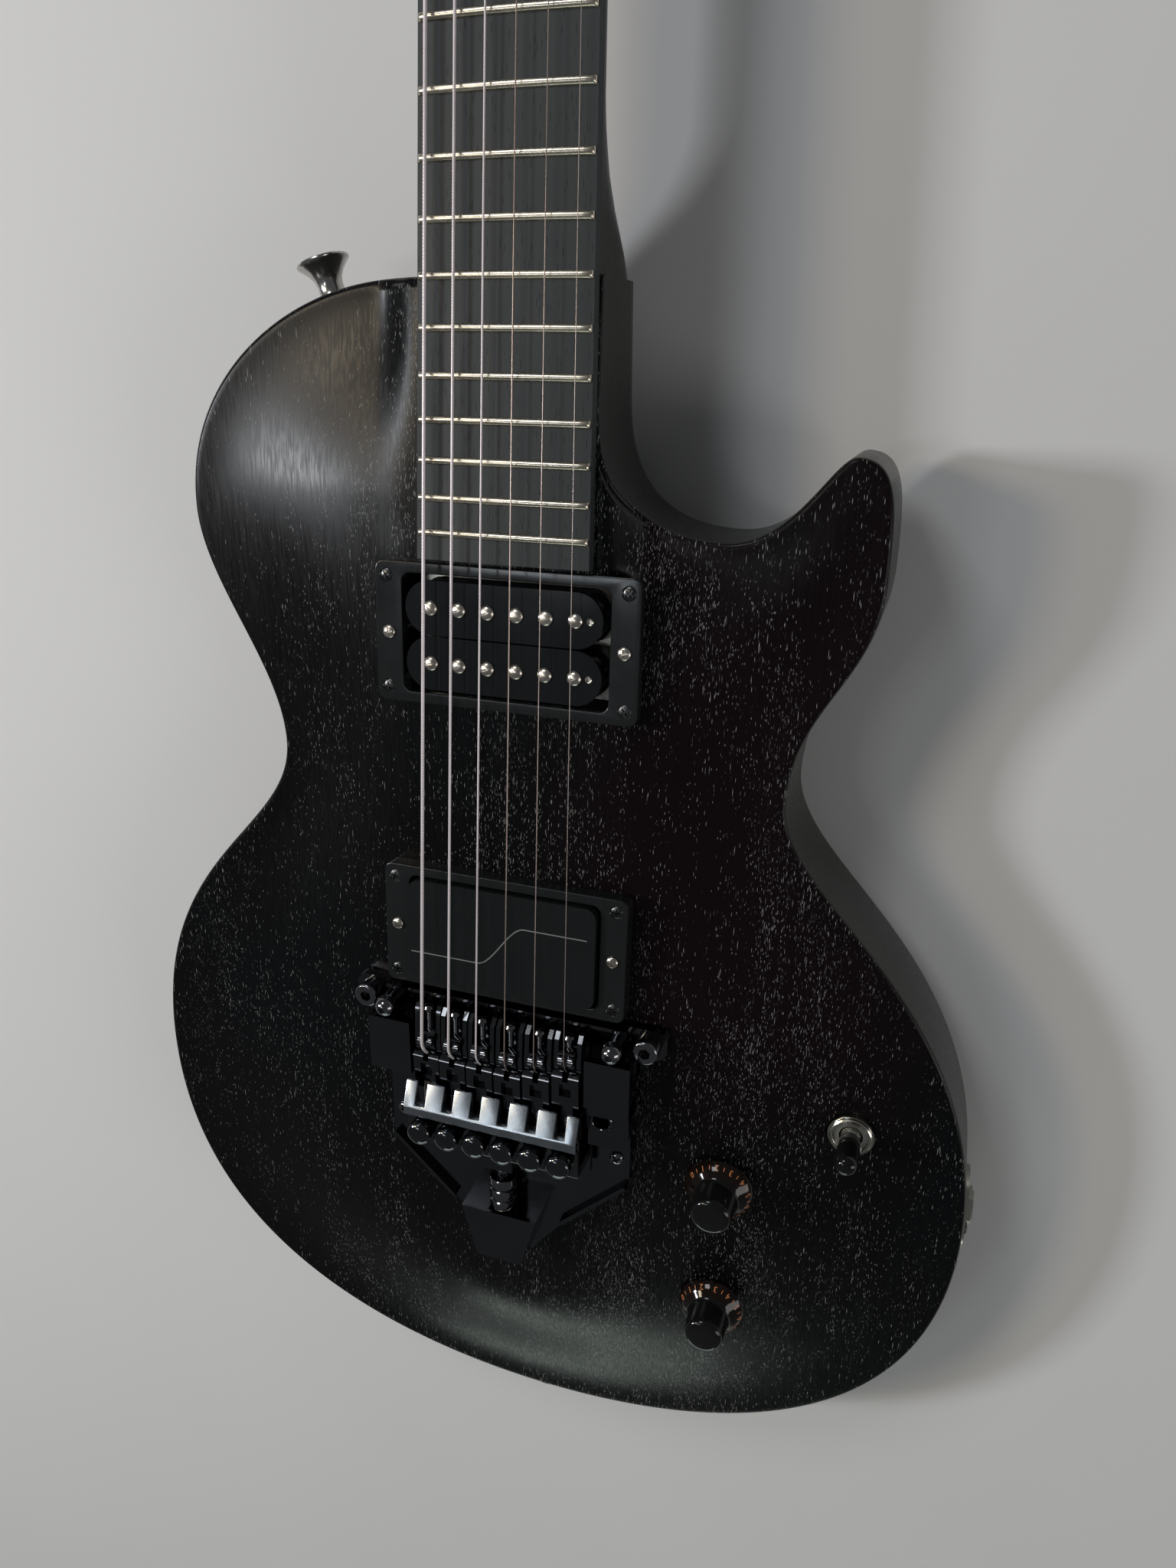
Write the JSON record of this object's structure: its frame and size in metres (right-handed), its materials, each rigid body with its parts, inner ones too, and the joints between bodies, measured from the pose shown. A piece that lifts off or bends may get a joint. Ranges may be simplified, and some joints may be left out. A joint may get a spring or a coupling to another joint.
{
  "type": "electric guitar",
  "caption": "Solid single-cutaway carved-top electric guitar with surface-mounted locking tremolo, pickups, knobs, toggle switch and an angled headstock.",
  "frame": {"origin": "on the flat back of the body, on the centre line, below the bridge line where the open strings end", "axes": "+X towards the treble side, +Y towards the headstock, +Z out of the face"},
  "size_m": [0.3332, 1.0226, 0.1182],
  "materials": {
    "black_mahogany": "satin",
    "fretboard_wood": "matte",
    "nickel_silver": "polished, lightly tarnished",
    "black_chrome": "black chrome, worn at edges",
    "black_plastic": "satin",
    "tip_plastic": "gloss",
    "pot_metal": "zinc plated",
    "string_steel": "dulled by use",
    "screw_steel": "oxidised",
    "battery_case": "satin"
  },
  "bodies": {
    "guitar": {"body": "black_mahogany", "neck": "black_mahogany", "fretboard": "fretboard_wood", "frets": "nickel_silver", "truss_rod": "screw_steel", "locking_nut": "black_chrome", "nut_clamps": "black_chrome", "string_retainer": "black_chrome", "tuner_housings": "black_chrome", "tuner_bushings": "black_chrome", "string_1": "string_steel", "string_2": "string_steel", "string_3": "string_steel", "string_4": "string_steel", "string_5": "string_steel", "string_6": "string_steel", "neck_pickup_ring": "black_plastic", "neck_pickup_bobbins": "black_plastic", "neck_pickup_poles": "screw_steel", "pickup_baseplates": "nickel_silver", "bridge_pickup_ring": "black_plastic", "bridge_pickup_cover": "black_plastic", "wood_screws": "screw_steel", "height_screws": "screw_steel", "tremolo_frame": "black_chrome", "tremolo_bolts": "black_chrome", "tension_spring": "screw_steel", "potentiometers": "pot_metal", "switch_body": "pot_metal", "switch_nut": "nickel_silver", "output_jack": "pot_metal", "jack_plate": "nickel_silver", "strap_buttons": "nickel_silver", "cavity_cover": "black_plastic", "battery": "battery_case"},
    "tremolo": {"tremolo_plate": "black_chrome", "saddles": "black_chrome", "string_lock_screws": "screw_steel"},
    "tension_knob": {"tension_knob": "black_chrome"},
    "volume_knob": {"volume_knob": "black_plastic"},
    "tone_knob": {"tone_knob": "black_plastic"},
    "switch_lever": {"switch_lever": "tip_plastic"},
    "fine_tuner_1": {"fine_tuner_1": "black_chrome"},
    "tuner_button_1": {"tuner_button_1": "black_chrome"},
    "tuner_post_1": {"tuner_post_1": "black_chrome"},
    "fine_tuner_2": {"fine_tuner_2": "black_chrome"},
    "tuner_button_2": {"tuner_button_2": "black_chrome"},
    "tuner_post_2": {"tuner_post_2": "black_chrome"},
    "fine_tuner_3": {"fine_tuner_3": "black_chrome"},
    "tuner_button_3": {"tuner_button_3": "black_chrome"},
    "tuner_post_3": {"tuner_post_3": "black_chrome"},
    "fine_tuner_4": {"fine_tuner_4": "black_chrome"},
    "tuner_button_4": {"tuner_button_4": "black_chrome"},
    "tuner_post_4": {"tuner_post_4": "black_chrome"},
    "fine_tuner_5": {"fine_tuner_5": "black_chrome"},
    "tuner_button_5": {"tuner_button_5": "black_chrome"},
    "tuner_post_5": {"tuner_post_5": "black_chrome"},
    "fine_tuner_6": {"fine_tuner_6": "black_chrome"},
    "tuner_button_6": {"tuner_button_6": "black_chrome"},
    "tuner_post_6": {"tuner_post_6": "black_chrome"}
  },
  "joints": [
    {"name": "tremolo_pivot", "type": "hinge", "parent": "guitar", "child": "tremolo", "pos_m": [0, 0.007, 0.06035], "axis": [-1, 0, 0], "range_deg": [-2, 5], "deforming": ["string_1", "string_2", "string_3", "string_4", "string_5", "string_6"]},
    {"name": "fine_tuner_1_turn", "type": "hinge", "parent": "tremolo", "child": "fine_tuner_1", "pos_m": [0.027, -0.0384, 0.072], "axis": [0, 0, 1], "range_deg": [-360, 360]},
    {"name": "fine_tuner_2_turn", "type": "hinge", "parent": "tremolo", "child": "fine_tuner_2", "pos_m": [0.0162, -0.0384, 0.072], "axis": [0, 0, 1], "range_deg": [-360, 360]},
    {"name": "fine_tuner_3_turn", "type": "hinge", "parent": "tremolo", "child": "fine_tuner_3", "pos_m": [0.0054, -0.0384, 0.072], "axis": [0, 0, 1], "range_deg": [-360, 360]},
    {"name": "fine_tuner_4_turn", "type": "hinge", "parent": "tremolo", "child": "fine_tuner_4", "pos_m": [-0.0054, -0.0384, 0.072], "axis": [0, 0, 1], "range_deg": [-360, 360]},
    {"name": "fine_tuner_5_turn", "type": "hinge", "parent": "tremolo", "child": "fine_tuner_5", "pos_m": [-0.0162, -0.0384, 0.072], "axis": [0, 0, 1], "range_deg": [-360, 360]},
    {"name": "fine_tuner_6_turn", "type": "hinge", "parent": "tremolo", "child": "fine_tuner_6", "pos_m": [-0.027, -0.0384, 0.072], "axis": [0, 0, 1], "range_deg": [-360, 360]},
    {"name": "tension_knob_turn", "type": "hinge", "parent": "guitar", "child": "tension_knob", "pos_m": [0, -0.075, 0.06175], "axis": [0, -1, 0], "range_deg": [-720, 720]},
    {"name": "volume_turn", "type": "hinge", "parent": "guitar", "child": "volume_knob", "pos_m": [0.0805, -0.052, 0.05], "axis": [0, 0, -1], "range_deg": [-300, 0]},
    {"name": "tone_turn", "type": "hinge", "parent": "guitar", "child": "tone_knob", "pos_m": [0.0805, -0.109, 0.049], "axis": [0, 0, -1], "range_deg": [-300, 0]},
    {"name": "switch_tilt", "type": "hinge", "parent": "guitar", "child": "switch_lever", "pos_m": [0.1235, -0.023, 0.04248], "axis": [1, 0, 0], "range_deg": [-12, 12]},
    {"name": "tuner_button_1_turn", "type": "hinge", "parent": "guitar", "child": "tuner_button_1", "pos_m": [0.04, 0.74827, -0.03042], "axis": [1, 0, 0], "continuous": true},
    {"name": "tuner_button_2_turn", "type": "hinge", "parent": "guitar", "child": "tuner_button_2", "pos_m": [0.04, 0.71237, -0.02147], "axis": [1, 0, 0], "continuous": true},
    {"name": "tuner_button_3_turn", "type": "hinge", "parent": "guitar", "child": "tuner_button_3", "pos_m": [0.04, 0.67646, -0.01252], "axis": [1, 0, 0], "continuous": true},
    {"name": "tuner_button_4_turn", "type": "hinge", "parent": "guitar", "child": "tuner_button_4", "pos_m": [-0.04, 0.67646, -0.01252], "axis": [-1, 0, 0], "continuous": true},
    {"name": "tuner_button_5_turn", "type": "hinge", "parent": "guitar", "child": "tuner_button_5", "pos_m": [-0.04, 0.71237, -0.02147], "axis": [-1, 0, 0], "continuous": true},
    {"name": "tuner_button_6_turn", "type": "hinge", "parent": "guitar", "child": "tuner_button_6", "pos_m": [-0.04, 0.74827, -0.03042], "axis": [-1, 0, 0], "continuous": true},
    {"name": "tuner_post_1_turn", "type": "hinge", "parent": "guitar", "child": "tuner_post_1", "pos_m": [0.025, 0.75323, -0.01053], "axis": [0, 0.2419, 0.9703], "continuous": true},
    {"name": "tuner_post_2_turn", "type": "hinge", "parent": "guitar", "child": "tuner_post_2", "pos_m": [0.025, 0.71732, -0.00158], "axis": [0, 0.2419, 0.9703], "continuous": true},
    {"name": "tuner_post_3_turn", "type": "hinge", "parent": "guitar", "child": "tuner_post_3", "pos_m": [0.025, 0.68142, 0.00737], "axis": [0, 0.2419, 0.9703], "continuous": true},
    {"name": "tuner_post_4_turn", "type": "hinge", "parent": "guitar", "child": "tuner_post_4", "pos_m": [-0.025, 0.68142, 0.00737], "axis": [0, 0.2419, 0.9703], "continuous": true},
    {"name": "tuner_post_5_turn", "type": "hinge", "parent": "guitar", "child": "tuner_post_5", "pos_m": [-0.025, 0.71732, -0.00158], "axis": [0, 0.2419, 0.9703], "continuous": true},
    {"name": "tuner_post_6_turn", "type": "hinge", "parent": "guitar", "child": "tuner_post_6", "pos_m": [-0.025, 0.75323, -0.01053], "axis": [0, 0.2419, 0.9703], "continuous": true}
  ],
  "couplings": [
    {"joint": "tuner_post_1_turn", "follows": "tuner_button_1_turn", "ratio": 0.066667},
    {"joint": "tuner_post_2_turn", "follows": "tuner_button_2_turn", "ratio": 0.066667},
    {"joint": "tuner_post_3_turn", "follows": "tuner_button_3_turn", "ratio": 0.066667},
    {"joint": "tuner_post_4_turn", "follows": "tuner_button_4_turn", "ratio": -0.066667},
    {"joint": "tuner_post_5_turn", "follows": "tuner_button_5_turn", "ratio": -0.066667},
    {"joint": "tuner_post_6_turn", "follows": "tuner_button_6_turn", "ratio": -0.066667}
  ]
}
